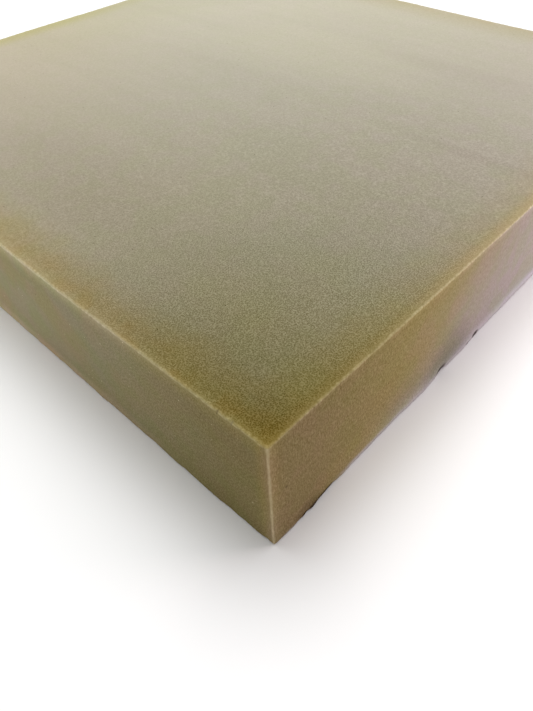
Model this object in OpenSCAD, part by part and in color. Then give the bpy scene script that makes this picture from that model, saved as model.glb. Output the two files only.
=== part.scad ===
// A slab of open-cell upholstery foam, sawn square from a larger block. It is one solid piece.
// The origin is the middle of the underside, X runs along the longer side, and Z is up.

/* [Slab] */
// Longer side, from the left-hand end to the right-hand end
slab_length = 620; // [400:5:1200]
// Shorter side, from front to back
slab_width = 590; // [400:5:1200]
// Thickness between the two sawn faces
slab_thickness = 100; // [40:1:200]

/* [Edges] */
// Radius that the saw and handling leave on the rims round the top and bottom faces
rim_radius = 1.5; // [0.5:0.1:6]
// Radius of the four upright edges
upright_radius = 1.2; // [0.5:0.1:6]

/* [Pinched nicks in the lower right-hand edge] */
// Distance from the near corner to the middle of each nick
nick_places = [34, 186, 235]; // [30:1:320]
// Length of each nick along the edge
nick_lengths = [24, 16, 12]; // [6:1:40]
// Depth of the nicks below the eased rim
nick_depth = 1.4; // [0.4:0.1:4]

/* [Hidden] */
foam_colour = [0.69, 0.65, 0.51];
// How far an eased rim lies inside the sharp edge that it replaces, along the diagonal
rim_setback = rim_radius * (sqrt(2) - 1);
$fn = 96;

// What a round easing takes off a square corner at the origin.
module corner_waste(radius) {
    difference() {
        square(radius);
        translate([radius, radius]) circle(radius);
    }
}

// A rectangle about the origin with its four corners eased.
module eased_rectangle(width, height, radius) {
    difference() {
        square([width, height], center = true);
        for (across = [0, 1], up = [0, 1])
            mirror([across, 0])
                mirror([0, up])
                    translate([-width / 2, -height / 2]) corner_waste(radius);
    }
}

// The slab, as the part shared by three sawn bars that each have four eased edges.
module sawn_slab() {
    translate([0, 0, slab_thickness / 2])
        intersection() {
            linear_extrude(slab_thickness, center = true)
                eased_rectangle(slab_length, slab_width, upright_radius);
            rotate([90, 0, 0])
                linear_extrude(slab_width, center = true)
                    eased_rectangle(slab_length, slab_thickness, rim_radius);
            rotate([90, 0, 90])
                linear_extrude(slab_length, center = true)
                    eased_rectangle(slab_width, slab_thickness, rim_radius);
        }
}

// The ball whose cap is one pinched nick, beside an edge that runs along Y through the origin.
module pinch(length, depth) {
    ball_radius = (pow(length / 2, 2) + pow(depth, 2)) / (2 * depth);
    stand_off = ball_radius - depth - rim_setback;
    translate([stand_off, 0, -stand_off] / sqrt(2)) sphere(ball_radius);
}

module foam_block() {
    color(foam_colour)
        difference() {
            sawn_slab();
            for (i = [0 : len(nick_places) - 1])
                translate([slab_length / 2, nick_places[i] - slab_width / 2, 0])
                    pinch(nick_lengths[i], nick_depth);
        }
}

foam_block();
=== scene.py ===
import math

import bmesh
import bpy
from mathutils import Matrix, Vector, noise


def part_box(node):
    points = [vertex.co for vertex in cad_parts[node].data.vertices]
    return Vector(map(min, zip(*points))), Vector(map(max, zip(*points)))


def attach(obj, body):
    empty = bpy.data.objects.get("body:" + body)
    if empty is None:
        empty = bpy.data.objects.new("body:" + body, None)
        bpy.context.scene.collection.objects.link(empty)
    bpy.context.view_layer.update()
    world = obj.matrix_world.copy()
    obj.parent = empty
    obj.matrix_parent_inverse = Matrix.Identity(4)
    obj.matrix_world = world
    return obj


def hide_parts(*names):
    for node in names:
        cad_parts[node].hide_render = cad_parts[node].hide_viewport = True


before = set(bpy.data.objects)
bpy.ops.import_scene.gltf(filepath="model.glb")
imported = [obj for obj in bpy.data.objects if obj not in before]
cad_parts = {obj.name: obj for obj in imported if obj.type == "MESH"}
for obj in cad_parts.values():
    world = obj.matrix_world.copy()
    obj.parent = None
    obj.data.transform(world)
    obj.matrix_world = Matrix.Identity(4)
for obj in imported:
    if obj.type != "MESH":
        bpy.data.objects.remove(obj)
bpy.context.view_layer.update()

# ------------------------------------------------------------------ the foam slab
# One piece of open-cell upholstery foam, about 30 kg to the cubic metre, with no cover.
# It was sawn square from a larger block, and the saw left its rims soft and a little ragged.
# It lies loose on the floor, and its lower right-hand edge was pinched where it was gripped.

slab_low, slab_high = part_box("foam_block")
slab_size = slab_high - slab_low
slab_middle = (slab_low + slab_high) / 2
near_corner = Vector((slab_high.x, slab_low.y, slab_low.z))
rim_radius = 0.0015
rim_steps = 4
round_profile = 0.5

# The sawn block: a plain bar with every edge eased.
bpy.ops.object.select_all(action="DESELECT")
bpy.ops.mesh.primitive_cube_add(size=1, location=slab_middle, scale=slab_size)
slab = bpy.context.object
slab.name = "foam_slab"
slab.data.name = "foam_slab"
bpy.ops.object.transform_apply(location=True, rotation=True, scale=True)
bpy.ops.object.mode_set(mode="EDIT")
bpy.ops.mesh.select_all(action="SELECT")
bpy.ops.mesh.bevel(offset=rim_radius, segments=rim_steps, affect="EDGES", profile=round_profile)


def select_edges(wanted, measure):
    """Selects only the edges of the slab whose two ends pass a test, which is given one measure."""
    bpy.ops.mesh.select_mode(type="EDGE")
    bpy.ops.mesh.select_all(action="DESELECT")
    net = bmesh.from_edit_mesh(slab.data)
    for edge in net.edges:
        edge.select = wanted(edge.verts[0].co, edge.verts[1].co, measure)
    bmesh.update_edit_mesh(slab.data)


def rim_distance(point):
    """How far a point on the skin lies from the nearest of the slab's twelve edges."""
    to_faces = [min(point[i] - slab_low[i], slab_high[i] - point[i]) for i in range(3)]
    return sorted(to_faces)[1]


def runs_along(start, end, axis):
    """Whether an edge is long and runs straight along one axis."""
    step = end - start
    return abs(step[axis]) > net_cell and step.length - abs(step[axis]) < hairsbreadth


def beside_rim(start, end, band):
    """Whether an edge is long enough to halve and lies within a band along the rims."""
    furthest = max(rim_distance(start), rim_distance(end))
    return (end - start).length > shortest_edge and furthest < rim_radius + band


# An even net over the six faces, drawn one direction at a time.
net_cell = 0.007
hairsbreadth = 1e-6
for axis in range(3):
    select_edges(runs_along, axis)
    bpy.ops.mesh.subdivide(number_cuts=round(slab_size[axis] / net_cell) - 1)

# A finer net beside the rims, three times over, so that they can be ragged.
finer_bands = [net_cell, net_cell / 2, net_cell / 4]
shortest_edge = 0.0007
for band in finer_bands:
    select_edges(beside_rim, band)
    bpy.ops.mesh.subdivide(number_cuts=1)
bpy.ops.object.mode_set(mode="OBJECT")

# The form: first how the saw wandered, as slow waves along the faces and a ripple all over.
front_wander = 0.0004
front_wave = 0.500
back_sag = 0.0008
back_wave = 0.400
back_level = 0.250
end_sag = 0.0004
end_wave = 0.360
end_level = 0.290
sag_power = 3
ripple_height = 0.00030
ripple_length = 0.070
ripple_seeds = {"front": 3, "back": 17, "right": 29, "left": 41, "top": 53}
# Then how the rims are torn, cell by cell, and uneven for a hand's breadth round the near corner.
ragged_height = 0.00022
ragged_length = 0.0024
ragged_band = 0.0030
wider_tear = 0.5
wider_length = ragged_length * 2.5
tear_bias = 0.25
uneven_height = 0.0009
uneven_length = 0.013
uneven_band = 0.0070
uneven_reach = 0.180
uneven_far = 0.35
top_evenness = 0.7
# Two small nicks in the top front rim, by their distance from the near corner.
top_nicks = [0.0240, 0.0345]
top_nick_depth = 0.0009
top_nick_reach = 0.0011
into_top_rim = Vector((0, 1, -1)).normalized()
# Where the lower rims swell, are torn into tags and are pinched, each as (place, reach, depth).
right_swellings = [
    (0.013, 0.012, 0.0011),
    (0.085, 0.035, 0.0005),
    (0.158, 0.030, 0.0015),
    (0.212, 0.012, 0.0007),
]
front_swellings = [(0.056, 0.010, 0.0008), (0.094, 0.010, 0.0006)]
tags = [(0.0265, 0.0030, 0.0008), (0.0345, 0.0045, 0.0016)]
pinches = [(0.1826, 0.0050, 0.0025), (0.241, 0.006, 0.0005)]
swelling_height = 0.014
tag_height = 0.0035
pinch_height = 0.0035
into_low_rim = Vector((-1, 0, 0.5)).normalized()


def wave(along, length):
    """A slow wave between -1 and 1, which starts from nought and repeats at each length."""
    return math.sin(math.tau * along / length)


def ripple(point, face):
    """The slow unevenness of a sawn face, in metres."""
    seed = ripple_seeds[face]
    return ripple_height * noise.noise(point / ripple_length + Vector((seed, seed, seed)))


def bell(distance, reach):
    """A soft hump: 1 at no distance, and next to nothing at twice its reach."""
    return math.exp(-((distance / reach) ** 2))


# Each point also keeps its place in the plain block, so that the finish follows the skin.
sawn_place = slab.data.attributes.new("sawn_place", "FLOAT_VECTOR", "POINT")
skin_points = [(vertex.co.copy(), vertex.normal.copy()) for vertex in slab.data.vertices]
for vertex, (spot, outward), kept in zip(slab.data.vertices, skin_points, sawn_place.data):
    kept.vector = spot
    along_front = near_corner.x - spot.x
    along_right = spot.y - near_corner.y
    rightward, backward, upward = [(spot[i] - slab_low[i]) / slab_size[i] for i in range(3)]
    move = Vector((0, 0, 0))
    # The upright faces lean in and out with the saw, and the top is a little uneven.
    front_shift = front_wander * wave(along_front, front_wave)
    move.y -= (1 - backward) * (front_shift + ripple(spot, "front"))
    move.y += backward * ripple(spot, "back")
    move.x += rightward * ripple(spot, "right")
    move.x -= (1 - rightward) * ripple(spot, "left")
    back_lift = back_sag * wave(along_front - back_level, back_wave) * backward**sag_power
    end_lift = end_sag * wave(end_level - along_right, end_wave) * (1 - rightward) ** sag_power
    move.z += upward * (back_lift + end_lift + ripple(spot, "top"))
    # The rims are torn cell by cell, and less even low down and near the corner.
    tear = noise.noise(spot / ragged_length) + wider_tear * noise.noise(spot / wider_length)
    swell = ragged_height * bell(rim_distance(spot), ragged_band) * (tear - tear_bias)
    nearness = bell(math.hypot(along_front, along_right), uneven_reach)
    uneven = noise.noise(spot / uneven_length) * (1 - top_evenness * upward)
    uneven *= uneven_far + (1 - uneven_far) * nearness
    swell += uneven_height * bell(rim_distance(spot), uneven_band) * uneven
    move += swell * outward
    for place in top_nicks:
        gap = math.dist((along_front, spot.y, spot.z), (place, slab_low.y, slab_high.z))
        move += top_nick_depth * bell(gap, top_nick_reach) * into_top_rim
    # The lower right-hand rim swells, hangs out in tags and is pinched in.
    right_gap = math.dist((spot.x, spot.z), (slab_high.x, slab_low.z))
    for place, reach, depth in right_swellings:
        move.x += depth * bell(along_right - place, reach) * bell(right_gap, swelling_height)
    for place, reach, depth in tags:
        move.x += depth * bell(along_right - place, reach) * bell(right_gap, tag_height)
    for place, reach, depth in pinches:
        pinched = bell(along_right - place, reach) * bell(right_gap, pinch_height)
        move += depth * pinched * into_low_rim
    front_gap = math.dist((spot.y, spot.z), (slab_low.y, slab_low.z))
    for place, reach, depth in front_swellings:
        move.y -= depth * bell(along_front - place, reach) * bell(front_gap, swelling_height)
    vertex.co = spot + move
    vertex.co.z = max(vertex.co.z, slab_low.z)
bpy.ops.object.shade_smooth()

# The foam's finish is worked out from where each point lies in the plain block, in metres. Age has
# yellowed the foam inwards from its edges, it is darker round the near corner, partly with age and
# partly as painted shade, and its right-hand face has turned from ochre to mauve. Some light and
# shade is painted along the rims and low down too, as said where each is.
foam = bpy.data.materials.new("aged_foam")
foam.use_nodes = True
nodes = foam.node_tree.nodes
links = foam.node_tree.links
skin = nodes["Principled BSDF"]


def feed(socket, value):
    """Sets a socket to a number or a colour, or joins another node's output to it."""
    if isinstance(value, bpy.types.NodeSocket):
        links.new(value, socket)
    elif isinstance(value, tuple) and len(value) == 3 and socket.type == "RGBA":
        socket.default_value = (*value, 1)
    else:
        socket.default_value = value


def reckon(operation, *values):
    """One step of arithmetic on one to three numbers."""
    node = nodes.new("ShaderNodeMath")
    node.operation = operation
    for socket, value in zip(node.inputs, values):
        feed(socket, value)
    return node.outputs[0]


def along_row(operation, first, *others):
    """The same step of arithmetic along a row of numbers, from left to right."""
    result = first
    for value in others:
        result = reckon(operation, result, value)
    return result


def plus(*values):
    """The sum of the numbers."""
    return along_row("ADD", *values)


def minus(value, other):
    """One number less another."""
    return reckon("SUBTRACT", value, other)


def times(*values):
    """The product of the numbers."""
    return along_row("MULTIPLY", *values)


def least(*values):
    """The smallest of the numbers."""
    return along_row("MINIMUM", *values)


def most(*values):
    """The largest of the numbers."""
    return along_row("MAXIMUM", *values)


def scaled(value, factor, offset):
    """A number times a factor, plus an offset."""
    return reckon("MULTIPLY_ADD", value, factor, offset)


def swing(value, width):
    """A number that runs from 0 to 1, turned into one that swings evenly about nought."""
    return scaled(value, width, -width / 2)


def fade(value, start, end, at_start=1.0, at_end=0.0):
    """A soft step, from one level where the value is at its start to another at its end."""
    node = nodes.new("ShaderNodeMapRange")
    node.interpolation_type = "SMOOTHSTEP"
    for socket, given in zip(node.inputs, (value, start, end, at_start, at_end)):
        feed(socket, given)
    return node.outputs[0]


def rise(value, start, end):
    """A soft step the other way, from 0 at its start to 1 at its end."""
    return fade(value, start, end, 0.0, 1.0)


def where(mask, elsewhere, there):
    """One level outside a mask and another inside it."""
    return fade(mask, 0.0, 1.0, elsewhere, there)


def dye(under, over, share=1.0, blend="MIX"):
    """One colour laid over another, by a share from 0 to 1."""
    # The mix node keeps a set of sockets for each kind of value: 6 and 7 are its two colours.
    node = nodes.new("ShaderNodeMix")
    node.data_type = "RGBA"
    node.blend_type = blend
    feed(node.inputs[0], share)
    feed(node.inputs[6], under)
    feed(node.inputs[7], over)
    return node.outputs[2]


def tint(under, over, share=1.0):
    """A colour seen through a tint, by a share from 0 to 1."""
    return dye(under, over, share, "MULTIPLY")


def shade_card(value, stops):
    """The grey of a card of shades, where each stop is (place, grey)."""
    node = nodes.new("ShaderNodeValToRGB")
    node.color_ramp.interpolation = "LINEAR"
    while len(node.color_ramp.elements) < len(stops):
        node.color_ramp.elements.new(0.5)
    for element, (place, grey) in zip(node.color_ramp.elements, stops):
        element.position = place
        element.color = (grey, grey, grey, 1)
    feed(node.inputs[0], value)
    return node.outputs[0]


def laid_out(seed, stretch):
    """The slab's own coordinates, moved by a seed and stretched, for a random pattern."""
    mapping = nodes.new("ShaderNodeMapping")
    mapping.inputs["Location"].default_value = (seed, seed, seed)
    mapping.inputs["Scale"].default_value = stretch
    links.new(sawn_point, mapping.inputs["Vector"])
    return mapping.outputs[0]


def blotches(size, detail=2.0, stretch=(1, 1, 1), seed=0.0):
    """Soft random blotches of about that size, as a number round 0.5."""
    node = nodes.new("ShaderNodeTexNoise")
    node.inputs["Scale"].default_value = 1 / size
    node.inputs["Detail"].default_value = detail
    links.new(laid_out(seed, stretch), node.inputs["Vector"])
    return node.outputs[0]


def cells(size, height=1.0, seed=0.0):
    """How far a point lies from the middle of its cell, in cells of that size, drawn out upwards."""
    node = nodes.new("ShaderNodeTexVoronoi")
    node.inputs["Scale"].default_value = 1 / size
    links.new(laid_out(seed, (1, 1, 1 / height)), node.inputs["Vector"])
    return node.outputs["Distance"]


# Where a soft oval ends: how many times its reach, squared.
oval_edge = 1.6


def patch(along, up, middle, reach):
    """A soft oval on a face: 1 in the middle, a third at its reach and 0 a quarter past that."""
    across = times(minus(along, middle[0]), 1 / reach[0])
    above = times(minus(up, middle[1]), 1 / reach[1])
    return fade(scaled(across, across, times(above, above)), 0.0, oval_edge)


def graded(light, gamma):
    """A colour raised to a power, to go between light and how light it looks."""
    node = nodes.new("ShaderNodeGamma")
    feed(node.inputs["Color"], light)
    node.inputs["Gamma"].default_value = gamma
    return node.outputs[0]


# Where a point lies: how far in from each face, from the nearest rim and from the near corner. A slow
# drift keeps the hues from turning along even circles. From here on, a pair called a band, a start or
# a turn is where a soft step starts and ends, and where two more numbers follow, they are its levels.
card_length = 0.700
top_edge = (0.0002, 0.0010)
right_edge = (0.0010, 0.0080)
front_edge = (0.0003, 0.0012)
drift_size = 0.060
drift_width = 0.06
place_in_block = nodes.new("ShaderNodeAttribute")
place_in_block.attribute_name = sawn_place.name
sawn_point = place_in_block.outputs["Vector"]
axes = nodes.new("ShaderNodeSeparateXYZ")
links.new(sawn_point, axes.inputs[0])
from_floor = axes.outputs["Z"]
from_top = minus(slab_high.z, from_floor)
from_right = minus(slab_high.x, axes.outputs["X"])
from_left = minus(axes.outputs["X"], slab_low.x)
from_front = minus(axes.outputs["Y"], slab_low.y)
from_back = minus(slab_high.y, axes.outputs["Y"])
from_end = least(from_left, from_right)
from_side = least(from_front, from_back)
from_upright = most(from_end, from_side)
from_rim = most(least(from_end, from_side), least(from_upright, from_top, from_floor))
from_corner = reckon("SQRT", scaled(from_right, from_right, times(from_front, from_front)))
along_card = reckon("DIVIDE", from_corner, card_length)
is_top = fade(from_top, *top_edge)
is_right = fade(from_right, *right_edge)
is_front = fade(from_front, *front_edge)
drift = swing(blotches(drift_size), drift_width)
drifted_corner = plus(from_corner, drift)

# The front face: khaki near the corner and straw-coloured further off, with painted shade low down
# near the floor, tanned and greyed by turns, brown low down, and with a painted glow beside the corner
# edge, where light comes through the thin foam.
side_card = [(0, 0.21), (0.05, 0.22), (0.17, 0.30), (0.29, 0.35), (0.50, 0.41), (0.93, 0.42)]
khaki_hue = (1, 0.80, 0.315)
straw_hue = (1, 0.866, 0.500)
straw_lean = 0.17
straw_turn = (0.0, 0.184)
floor_shade_tint = (0.90, 0.91, 0.87)
floor_shade_middle = (0.132, 0.000)
floor_shade_reach = (0.113, 0.069)
tanned_tint = (1.035, 0.985, 0.93)
greyed_tint = (0.970, 1.012, 1.03)
weather_size = 0.045
weather_seed = 13.0
weather_turn = (0.38, 0.62)
weather_near = (0.080, 0.200, 0.3, 0.9)
weather_far = (0.300, 0.450, 1.0, 0.4)
brown_tint = (1.04, 0.985, 0.99)
brown_band = (0.008, 0.045)
brown_start = (0.130, 0.190)
corner_glow_tint = (1.12, 1.09, 1.00)
corner_glow_band = (0.0025, 0.0120)
# The card of shades makes the upright faces darker towards the near corner, partly with age and partly as
# painted shade.
side_shade = shade_card(along_card, side_card)
straw_share = rise(scaled(from_floor, straw_lean, drifted_corner), *straw_turn)
front_colour = tint(side_shade, dye(khaki_hue, straw_hue, straw_share))
# Painted shade low down on the front face, near the floor.
floor_shade = patch(from_right, from_floor, floor_shade_middle, floor_shade_reach)
front_colour = tint(front_colour, floor_shade_tint, times(floor_shade, is_front))
weather = rise(blotches(weather_size, seed=weather_seed), *weather_turn)
weather_share = times(fade(from_corner, *weather_near), fade(from_corner, *weather_far))
front_colour = tint(front_colour, dye(tanned_tint, greyed_tint, weather), weather_share)
brown_share = times(fade(from_floor, *brown_band), rise(from_right, *brown_start))
front_colour = tint(front_colour, brown_tint, brown_share)
# A painted glow beside the corner edge, where light comes through the thin foam.
front_colour = tint(front_colour, corner_glow_tint, times(fade(from_right, *corner_glow_band), is_front))

# The right-hand face: ochre near the corner and mauve further off, rosy beside the corner, with a
# painted glow along the corner edge, painted light from the floor low down, a painted light patch
# where the lower rim swells and painted shade above the pinch, and cream like the hidden faces
# towards the back.
ochre_hue = (1, 0.753, 0.302)
mauve_hue = (1, 0.865, 0.765)
cream_hue = (1, 0.885, 0.630)
mauve_lean = -0.72
mauve_turn = (0.047, 0.235)
rosy_tint = (1.075, 1.015, 1.16)
rosy_middle = (0.020, 0.035)
rosy_reach = (0.045, 0.080)
right_corner_glow_tint = (1.03, 1.03, 1.06)
right_corner_glow_band = (0.004, 0.012)
floor_glow_tint = (1.05, 1.12, 1.28)
floor_glow_band = (0.003, 0.026)
floor_glow_start = (0.050, 0.130)
floor_glow_end = (0.165, 0.230, 1.0, 0.3)
tongue_tint = (0.97, 0.965, 0.84)
tongue_middle = (0.140, 0.045)
tongue_reach = (0.045, 0.026)
swelling_light_tint = (1.12, 1.12, 1.08)
swelling_light_middle = (0.075, 0.012)
swelling_light_reach = (0.040, 0.018)
black_paint = (0, 0, 0)
dent_shade_middle = (0.188, -0.010)
dent_shade_reach = (0.033, 0.052)
dent_shade_strength = 0.27
cream_turn = (0.330, 0.560)
cream_strength = 0.75
mauve_share = rise(scaled(from_floor, mauve_lean, plus(from_front, drift)), *mauve_turn)
right_colour = tint(side_shade, dye(ochre_hue, mauve_hue, mauve_share))
right_colour = tint(right_colour, rosy_tint, patch(from_front, from_floor, rosy_middle, rosy_reach))
# A painted glow along the corner edge, where light comes through the thin foam.
right_colour = tint(right_colour, right_corner_glow_tint, fade(from_front, *right_corner_glow_band))
# Painted light thrown up from the white floor, low down.
floor_glow_share = times(fade(from_floor, *floor_glow_band), rise(from_front, *floor_glow_start))
floor_glow_share = times(floor_glow_share, fade(from_front, *floor_glow_end))
right_colour = tint(right_colour, floor_glow_tint, floor_glow_share)
right_colour = tint(right_colour, tongue_tint, patch(from_front, from_floor, tongue_middle, tongue_reach))
# Painted light where the lower rim swells and catches more of it.
right_colour = tint(right_colour, swelling_light_tint, patch(from_front, from_floor, swelling_light_middle, swelling_light_reach))
# Painted shade above the pinch, where the face is pushed in.
dent_shade = patch(from_front, from_floor, dent_shade_middle, dent_shade_reach)
right_colour = dye(right_colour, black_paint, times(dent_shade, dent_shade_strength))
cream_share = times(rise(from_front, *cream_turn), cream_strength)
right_colour = dye(right_colour, tint(side_shade, cream_hue), cream_share)
colour = dye(front_colour, right_colour, is_right)

# All the upright faces have a painted glow just under the top rim, where light comes through the thin
# foam, and painted light thrown up from the floor just above it; beside each upright edge they are
# yellower.
under_rim_glow_tint = (1.21, 1.17, 1.12)
under_rim_glow_band = (0.002, 0.015)
under_rim_glow_on_right = 0.08
front_floor_light_tint = (1.38, 1.31, 1.41)
right_floor_light_tint = (1.38, 1.44, 1.58)
floor_light_band = (0.002, 0.016)
floor_light_start = (0.020, 0.180)
far_floor_light_tint = (1.07, 1.13, 1.19)
far_floor_light_band = (0.004, 0.030)
far_floor_light_start = (0.230, 0.310)
halo_tint = (1.00, 0.965, 0.86)
halo_band = (0.003, 0.013)
halo_start = (0.010, 0.060)
# A painted glow under the top rim.
colour = tint(colour, under_rim_glow_tint, times(fade(from_top, *under_rim_glow_band), where(is_right, 1.0, under_rim_glow_on_right)))
# Painted light thrown up from the floor, low down on the upright faces, near the corner and far off.
floor_light_share = times(fade(from_floor, *floor_light_band), rise(from_corner, *floor_light_start))
colour = tint(colour, dye(front_floor_light_tint, right_floor_light_tint, is_right), floor_light_share)
far_floor_light_share = times(fade(from_floor, *far_floor_light_band), rise(from_corner, *far_floor_light_start))
colour = tint(colour, far_floor_light_tint, far_floor_light_share)
colour = tint(colour, halo_tint, times(fade(from_upright, *halo_band), rise(from_floor, *halo_start)))

# The top: olive at the corner, then drab, then greige, leaning to lilac towards the back. Its card of
# shades makes it darker towards the corner, partly with age and partly as painted shade.
top_card = [(0.045, 0.15), (0.29, 0.26), (0.50, 0.32), (0.93, 0.44)]
olive_hue = (1, 0.84, 0.31)
drab_hue = (1, 0.873, 0.543)
greige_hue = (1, 0.893, 0.670)
drab_turn = (0.0, 0.177)
greige_turn = (0.040, 0.450)
lilac_tint = (1, 1.05, 1.096)
lilac_lean = -0.62
lilac_turn = (-0.200, 0.120)
top_hue = dye(olive_hue, drab_hue, rise(drifted_corner, *drab_turn))
top_hue = dye(top_hue, greige_hue, rise(drifted_corner, *greige_turn))
lilac_share = rise(scaled(from_right, lilac_lean, from_front), *lilac_turn)
top_colour = tint(shade_card(along_card, top_card), tint(top_hue, lilac_tint, lilac_share))

# Age has yellowed the top inwards from its four rims, in bands that wander and widen a little.
yellowed_tint = (0.983, 0.895, 0.643)
wander_size = 0.015
wander_seed = 3.0
wander_width = 0.020
band_turn = (0.060, 0.140)
front_band_start = 0.003
front_band_ends = (0.040, 0.043)
right_band_start = 0.000
right_band_ends = (0.044, 0.047)
right_band_far = (0.040, 0.260, 1.0, 0.49)
back_yellowed_tint = (0.925, 0.895, 0.79)
back_band = (0.004, 0.050)
left_yellowed_tint = (0.94, 0.95, 0.70)
left_band = (0.006, 0.033)
left_band_far = (0.290, 0.400, 1.0, 0.5)
wander = swing(blotches(wander_size, seed=wander_seed), wander_width)
front_band_end = fade(from_corner, *band_turn, *front_band_ends)
front_share = fade(plus(from_front, wander), front_band_start, front_band_end)
right_band_end = fade(from_corner, *band_turn, *right_band_ends)
right_share = fade(plus(from_right, wander), right_band_start, right_band_end)
right_share = times(right_share, fade(from_corner, *right_band_far))
top_colour = tint(top_colour, yellowed_tint, front_share)
top_colour = tint(top_colour, yellowed_tint, right_share)
top_colour = tint(top_colour, back_yellowed_tint, fade(from_back, *back_band))
left_share = times(fade(from_left, *left_band), fade(from_front, *left_band_far))
top_colour = tint(top_colour, left_yellowed_tint, left_share)

# Inside the bands the top is straw-coloured far to the left and dove grey far to the right.
straw_tint = (0.965, 0.975, 0.935)
straw_band = (0.060, 0.160)
straw_start = (0.160, 0.270)
dove_tint = (0.985, 0.965, 1.00)
dove_band = (0.050, 0.260)
dove_start = (0.120, 0.200)
far_left_share = times(fade(from_left, *straw_band), rise(from_front, *straw_start))
top_colour = tint(top_colour, straw_tint, far_left_share)
far_right_share = times(fade(from_right, *dove_band), rise(from_front, *dove_start))
top_colour = tint(top_colour, dove_tint, far_right_share)

# Rust-coloured blotches along the rims, and gold beside the right-hand one.
rusty_tint = (0.98, 0.89, 0.72)
rust_size = 0.016
rust_detail = 1.0
rust_seed = 7.0
rust_turn = (0.42, 0.64)
rust_band = (0.004, 0.018)
rust_far = (0.120, 0.260, 0.85, 0.3)
right_rust = (0.002, 0.011, 0.75, 0.0)
golden_tint = (1.05, 1.02, 0.96)
golden_band = (0.005, 0.016)
golden_start = (0.120, 0.180)
rust = rise(blotches(rust_size, rust_detail, seed=rust_seed), *rust_turn)
rust = times(rust, fade(from_side, *rust_band), fade(from_corner, *rust_far))
rust = most(rust, fade(from_right, *right_rust))
top_colour = tint(top_colour, rusty_tint, rust)
golden_share = times(fade(from_right, *golden_band), rise(from_front, *golden_start))
top_colour = tint(top_colour, golden_tint, golden_share)

# Marks on the top, by their distance from the right-hand and front rims: darker in three patches, the
# two round the near corner adding to the painted shade there, brushed pale in one place, streaked by
# the saw all over, and scored by it in three long marks. Each darker patch and each saw mark is
# (middle, reach, strength).
darker_patches = [
    ((0.075, 0.022), (0.050, 0.030), 0.060),
    ((0.014, 0.016), (0.015, 0.013), 0.090),
    ((0.300, 0.085), (0.110, 0.050), 0.045),
]
brushed_tint = (1.035, 1.040, 1.020)
brushed_middle = (0.300, 0.395)
brushed_reach = (0.130, 0.058)
streak_size = 0.016
streak_stretch = (0.10, 1, 1)
streak_seed = 5.0
streak_strength = 0.07
saw_tint = (0.930, 0.905, 0.920)
saw_marks = [
    ((0.065, 0.304), (0.075, 0.0070), 0.50),
    ((0.165, 0.443), (0.110, 0.0150), 0.35),
    ((0.330, 0.310), (0.200, 0.0120), 0.20),
]
# Darker patches on the top; round the near corner they deepen the painted shade there.
for middle, reach, strength in darker_patches:
    darker_patch = patch(from_right, from_front, middle, reach)
    top_colour = dye(top_colour, black_paint, times(darker_patch, strength))
top_colour = tint(top_colour, brushed_tint, patch(from_right, from_front, brushed_middle, brushed_reach))
streaks = blotches(streak_size, stretch=streak_stretch, seed=streak_seed)
top_colour = tint(top_colour, scaled(streaks, streak_strength, 1 - streak_strength / 2))
for middle, reach, strength in saw_marks:
    scored = patch(from_right, from_front, middle, reach)
    top_colour = tint(top_colour, saw_tint, times(scored, strength))
colour = dye(colour, top_colour, is_top)

# Faint blotches of green and pink all over.
greenish_tint = (0.945, 1.010, 0.885)
pinkish_tint = (1.055, 0.990, 1.105)
mottle_size = 0.021
mottle_detail = 1.0
mottle_seed = 11.0
mottle_turn = (0.36, 0.64)
mottle_near = (0.080, 0.250, 0.45, 0.62)
mottle_far = (0.320, 0.480, 1.0, 0.4)
mottle_on_top = 0.42
mottle = rise(blotches(mottle_size, mottle_detail, seed=mottle_seed), *mottle_turn)
mottle_share = times(fade(from_corner, *mottle_near), fade(from_corner, *mottle_far))
mottle_share = times(mottle_share, where(is_top, 1.0, mottle_on_top))
colour = tint(colour, dye(greenish_tint, pinkish_tint, mottle), mottle_share)

# The lower right-hand rim has a pale lilac painted reflection of light from the floor, where it swells
# and curves under.
lit_lower_rim = (0.50, 0.455, 0.475)
lit_lower_band = (0.0020, 0.0075)
lit_lower_start = (0.050, 0.080)
lit_lower_end = (0.330, 0.560, 1.0, 0.3)
lit_lower_strength = 0.85
near_lit_lower_middle = (0.013, 0.0)
near_lit_lower_reach = (0.010, 0.0032)
near_lit_lower_strength = 0.7
# Painted floor light on the lower rim.
lit_lower = times(fade(from_floor, *lit_lower_band), rise(from_front, *lit_lower_start))
near_lit_lower = patch(from_front, from_floor, near_lit_lower_middle, near_lit_lower_reach)
lit_lower = most(lit_lower, times(near_lit_lower, near_lit_lower_strength))
lit_lower = times(lit_lower, fade(from_front, *lit_lower_end), is_right, lit_lower_strength)
colour = dye(colour, lit_lower_rim, lit_lower)

# It has painted shade in the crevices where it was torn and pinched, and in one small void above. Each
# is (middle, reach, strength), with its middle as (from the front, from the floor).
crevice_shade = (0.022, 0.010, 0.004)
crevice_shades = [
    ((0.0270, 0.0006), (0.0042, 0.0026), 1.0),
    ((0.0350, 0.0008), (0.0050, 0.0028), 1.0),
    ((0.0470, 0.0008), (0.0120, 0.0028), 0.9),
    ((0.0310, 0.0000), (0.0140, 0.0120), 0.28),
    ((0.1812, 0.0052), (0.0062, 0.0040), 1.0),
    ((0.2320, 0.0038), (0.0048, 0.0030), 1.0),
    ((0.2205, 0.0018), (0.0030, 0.0013), 0.7),
    ((0.0125, 0.0516), (0.0009, 0.0012), 0.6),
]
torn_size = 0.0030
torn_detail = 1.0
torn_seed = 37.0
torn_turn = (0.38, 0.56, 0.82, 1.0)
torn = fade(blotches(torn_size, torn_detail, seed=torn_seed), *torn_turn)
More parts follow.
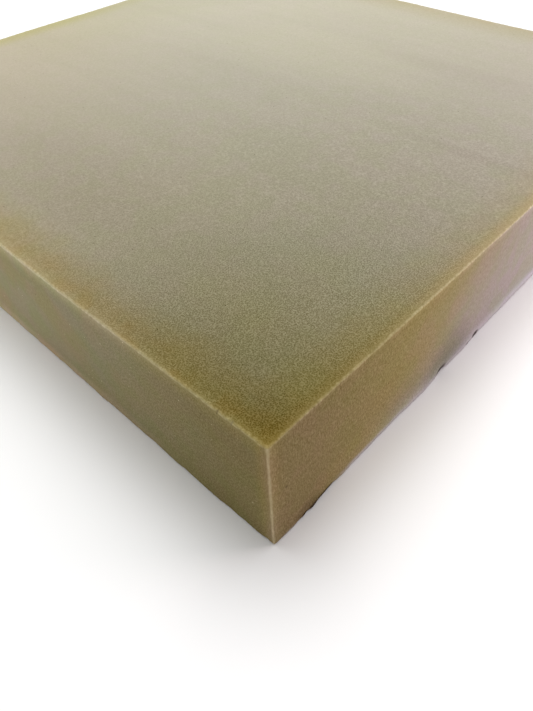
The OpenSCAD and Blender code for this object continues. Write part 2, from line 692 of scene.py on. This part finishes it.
# Painted shade in the crevices under the tags and pinches, and in the void.
for middle, reach, strength in crevice_shades:
    crevice_shaded = patch(from_front, from_floor, middle, reach)
    colour = dye(colour, crevice_shade, times(crevice_shaded, torn, is_right, strength))

# The two nicks in the top front rim have painted shade inside.
nick_drop = 0.0008
nick_reach = (0.0006, 0.0016)
nick_band = (0.0010, 0.0025, 0.34, 0.0)
for place in top_nicks:
    nick_shade = patch(from_right, from_floor, (place, slab_high.z - nick_drop), nick_reach)
    colour = dye(colour, crevice_shade, times(nick_shade, fade(from_front, *nick_band)))

# The rest is added to the colour as the eye sees it, by even steps of lightness. Light comes through
# the thin foam of the top rims, in a bright broken core and a soft glow, and the lines grow thinner
# below the rim and weaker far off.
eye_gamma = 2.2
front_narrow = (0.060, 0.230, 0.78, 1.10)
end_narrow = (0.080, 0.240, 0.96, 1.18)
back_narrow = 1.15
below_narrow = (0.030, 0.230, 1.25, 0.80)
right_below_narrow = 1.5
far_widen = (0.100, 0.280, 1.0, 0.84)
tear_size = 0.0020
tear_seed = 31.0
tear_width = 0.0014
sparkle_size = 0.0020
sparkle_seed = 33.0
sparkle_turn = (0.10, 0.55, 1.25, 0.92)
top_core_band = (0.0004, 0.0019, 0.126, 0.0)
top_glow_start = 0.0005
top_glow_strength = 0.042
top_glow_reach = (0.060, 0.180, 0.0058, 0.0080)
top_line_far = (0.30, 0.60, 1.0, 0.35)
top_line_near = (0.03, 0.24, 1.02, 1.12)
top_line_on_right = 0.92
seen = graded(colour, 1 / eye_gamma)
inward = least(
    times(from_front, fade(from_right, *front_narrow)),
    times(from_back, back_narrow),
    times(from_end, fade(from_front, *end_narrow)),
)
below = most(fade(from_right, *below_narrow), times(is_right, right_below_narrow))
widen = most(fade(from_corner, *far_widen), is_right)
from_top_rim = times(most(times(from_top, below), inward), widen)
rim_tear = swing(blotches(tear_size, 0.0, seed=tear_seed), tear_width)
sparkle = fade(cells(sparkle_size, seed=sparkle_seed), *sparkle_turn)
top_core = times(fade(plus(from_top_rim, rim_tear), *top_core_band), sparkle)
top_glow = fade(from_top_rim, top_glow_start, fade(from_corner, *top_glow_reach), top_glow_strength, 0.0)
top_line_strength = times(fade(from_corner, *top_line_far), fade(from_corner, *top_line_near))
top_line = times(plus(top_core, top_glow), top_line_strength)
top_line = times(top_line, where(is_right, 1.0, top_line_on_right))

# The upright edges have the same bright line, with a knot of light where three rims meet.
front_widen = 0.8
upright_core_band = (0.0003, 0.0018, 0.160, 0.0)
upright_glow_band = (0.0005, 0.0085, 0.055, 0.0)
upright_far = (0.200, 0.500, 1.0, 0.35)
knot_band = (0.0008, 0.0034, 0.075, 0.0)
from_upright_line = times(from_upright, where(is_right, front_widen, 1.0))
upright_core = fade(from_upright_line, *upright_core_band)
upright_line = plus(upright_core, fade(from_upright_line, *upright_glow_band))
upright_line = times(upright_line, fade(from_corner, *upright_far))
knot = fade(most(from_top, from_upright), *knot_band)
rim_light = plus(most(top_line, upright_line), knot)

# The grain: open cells under a millimetre across, dark inside, with pale struts between them. Further
# from the corner they look wider and fainter, and the rims are smoother.
cell_size = 0.00095
cell_height = 1.8
small_cell_size = 0.00060
small_cell_share = 0.6
cell_level = 0.80
cell_far = (0.155, 0.262, 1.0, 0.40)
wide_cell_size = 0.0018
wide_cell_height = 1.4
wide_cell_seed = 6.0
wide_cell_level = 0.50
wide_cell_far = (0.120, 0.230, 0.0, 0.43)
palest_strut = 0.30
grain = plus(cells(cell_size, cell_height), times(cells(small_cell_size, cell_height), small_cell_share))
grain = times(minus(grain, cell_level), fade(from_corner, *cell_far))
wide_grain = minus(cells(wide_cell_size, wide_cell_height, seed=wide_cell_seed), wide_cell_level)
grain = plus(grain, times(wide_grain, fade(from_corner, *wide_cell_far)))
grain = least(grain, palest_strut)

# How strongly the grain shows: most on the top, and less on the upright faces, at the rims and far off.
grain_near = (0.040, 0.080, 0.217, 0.236)
grain_middle = (0.100, 0.190, 1.0, 0.745)
grain_far = (0.200, 0.500, 1.0, 0.31)
grain_leftward = (-0.200, 0.200, 1.10, 0.90)
grain_off_top = 0.69
grain_on_right = 0.85
grain_at_rim = (0.0006, 0.0045, 0.35, 1.0)
grain_step = times(
    fade(from_corner, *grain_near),
    fade(from_corner, *grain_middle),
    fade(from_corner, *grain_far),
    fade(minus(from_right, from_front), *grain_leftward),
    where(is_top, grain_off_top, 1.0),
    where(is_right, 1.0, grain_on_right),
    fade(from_rim, *grain_at_rim),
)

# The faces far from the corner keep a plain even grain of their own.
hidden_edge = (0.001, 0.004)
hidden_right = (0.330, 0.480)
hidden_at_rim = (0.0006, 0.0045, 0.4, 1.0)
hidden_grain = 0.130
hidden = most(fade(from_left, *hidden_edge), fade(from_back, *hidden_edge))
hidden = most(hidden, times(is_right, rise(from_front, *hidden_right)))
hidden = times(hidden, fade(from_rim, *hidden_at_rim), where(is_top, hidden_grain, 0.0))
grain_step = most(grain_step, hidden)

# Coarser unevenness further off, and upright strands where the saw drew out the cells of the
# right-hand face.
coarse_size = 0.0022
coarse_seed = 9.0
coarse_start = (0.140, 0.320, 0.0, 0.031)
coarse_far = (0.450, 0.700, 1.0, 0.8)
strand_size = 0.0010
strand_stretch = (1, 1, 0.28)
strand_seed = 21.0
strand_strength = 0.115
strand_far = (0.10, 0.30, 1.0, 0.5)
middle_grey = 0.5
coarse = minus(blotches(coarse_size, 0.0, seed=coarse_seed), middle_grey)
coarse = times(coarse, fade(from_corner, *coarse_start), fade(from_corner, *coarse_far))
strands = minus(blotches(strand_size, 0.0, strand_stretch, strand_seed), middle_grey)
strands = times(strands, is_right, where(is_top, strand_strength, 0.0), fade(from_corner, *strand_far))

# A few painted glints on the upright faces, where light catches the cell walls, and a few dark pits all
# over.
glint_gap = 0.0072
glint_seed = 2.0
glint_edge = (0.03, 0.09, 0.26, 0.0)
glint_on_right = 0.25
pit_gap = 0.0100
pit_seed = 4.0
pit_edge = (0.03, 0.06, -0.16, 0.0)
glint = fade(cells(glint_gap, seed=glint_seed), *glint_edge)
glint = times(glint, where(is_top, 1.0, 0.0), where(is_right, 1.0, glint_on_right))
pit = fade(cells(pit_gap, seed=pit_seed), *pit_edge)

# The skin: all of that together, quite dull, with the cells also standing in slight relief.
skin_roughness = 1.0
skin_gloss = 0.1
relief_strength = 0.5
relief_depth = 0.0004
lightened = nodes.new("ShaderNodeVectorMath")
lightened.operation = "ADD"
feed(lightened.inputs[0], seen)
feed(lightened.inputs[1], plus(rim_light, times(grain, grain_step), coarse, strands, glint, pit))
feed(skin.inputs["Base Color"], graded(lightened.outputs[0], eye_gamma))
skin.inputs["Roughness"].default_value = skin_roughness
skin.inputs["Specular IOR Level"].default_value = skin_gloss
relief = nodes.new("ShaderNodeBump")
relief.inputs["Strength"].default_value = relief_strength
relief.inputs["Distance"].default_value = relief_depth
feed(relief.inputs["Height"], grain)
links.new(relief.outputs[0], skin.inputs["Normal"])
slab.data.materials.append(foam)

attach(slab, "root")
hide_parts("foam_block")

# ------------------------------------------------------------------ the floor
# A plain sheet of white studio board, laid flat and much wider than the slab.
# It isn't part of the object, and lies a hair below the slab so that the two never touch.

floor_size = 12
floor_gap = 0.0002
board_white = (0.95, 0.95, 0.95, 1)
board_roughness = 1.0
board_gloss = 0.0

bpy.ops.object.select_all(action="DESELECT")
bpy.ops.mesh.primitive_plane_add(size=floor_size, location=(0, 0, slab_low.z - floor_gap))
floor = bpy.context.object
floor.name = "studio_floor"
board = bpy.data.materials.new("white_board")
board.use_nodes = True
board_skin = board.node_tree.nodes["Principled BSDF"]
board_skin.inputs["Base Color"].default_value = board_white
board_skin.inputs["Roughness"].default_value = board_roughness
board_skin.inputs["Specular IOR Level"].default_value = board_gloss
floor.data.materials.append(board)

# ------------------------------------------------------------------ light
# A large soft box hangs over the slab, and even white air fills in its shadows.
# A small rosy one stands low on the right and warms the face that has turned mauve.
# Both keep their places over the floor, and the camera sees neither.

air_white = (1, 1, 1, 1)
air_strength = 0.42
overhead_place = (-0.2, 0.25, 1.6)
overhead_aim = (0, 0.05, 0.1)
overhead_size = (1.5, 1.5)
overhead_watts = 29
overhead_colour = (1, 1, 1)
low_side_place = (0.7, 0.3, 0.25)
low_side_aim = (0.31, 0.05, 0.05)
low_side_size = (0.3, 0.2)
low_side_watts = 1.2
low_side_colour = (1, 0.8, 0.82)

world = bpy.data.worlds.new("studio_air")
world.use_nodes = True
world.node_tree.nodes["Background"].inputs["Color"].default_value = air_white
world.node_tree.nodes["Background"].inputs["Strength"].default_value = air_strength
bpy.context.scene.world = world


def soft_box(name, place, aim, size, watts, lamp_colour):
    """A rectangular soft light at a place, turned to face a point."""
    bpy.ops.object.light_add(type="AREA", location=place)
    lamp = bpy.context.object
    lamp.name = name
    lamp.data.shape = "RECTANGLE"
    lamp.data.size = size[0]
    lamp.data.size_y = size[1]
    lamp.data.energy = watts
    lamp.data.color = lamp_colour
    lamp.rotation_euler = (Vector(aim) - Vector(place)).to_track_quat("-Z", "Y").to_euler()
    lamp.visible_camera = False


soft_box("overhead", overhead_place, overhead_aim, overhead_size, overhead_watts, overhead_colour)
soft_box("low_side", low_side_place, low_side_aim, low_side_size, low_side_watts, low_side_colour)

# ------------------------------------------------------------------ camera
# A phone held close above the near corner, looking down across the slab.
# It is tipped a little to one side, and all is sharp from the corner to the back.

view_lens = 29.3516
view_film = 36
nearest_sight = 0.01
view_place = (0.42075, -0.40118, 0.32751)
view_degrees = (43.2241, 2.1474, 43.1689)

view = bpy.data.cameras.new("view_camera")
view.lens = view_lens
view.sensor_width = view_film
view.clip_start = nearest_sight
view_camera = bpy.data.objects.new("view_camera", view)
view_camera.location = view_place
view_camera.rotation_euler = [math.radians(turn) for turn in view_degrees]
bpy.context.scene.collection.objects.link(view_camera)
bpy.context.scene.camera = view_camera
bpy.context.scene.view_settings.view_transform = "Standard"
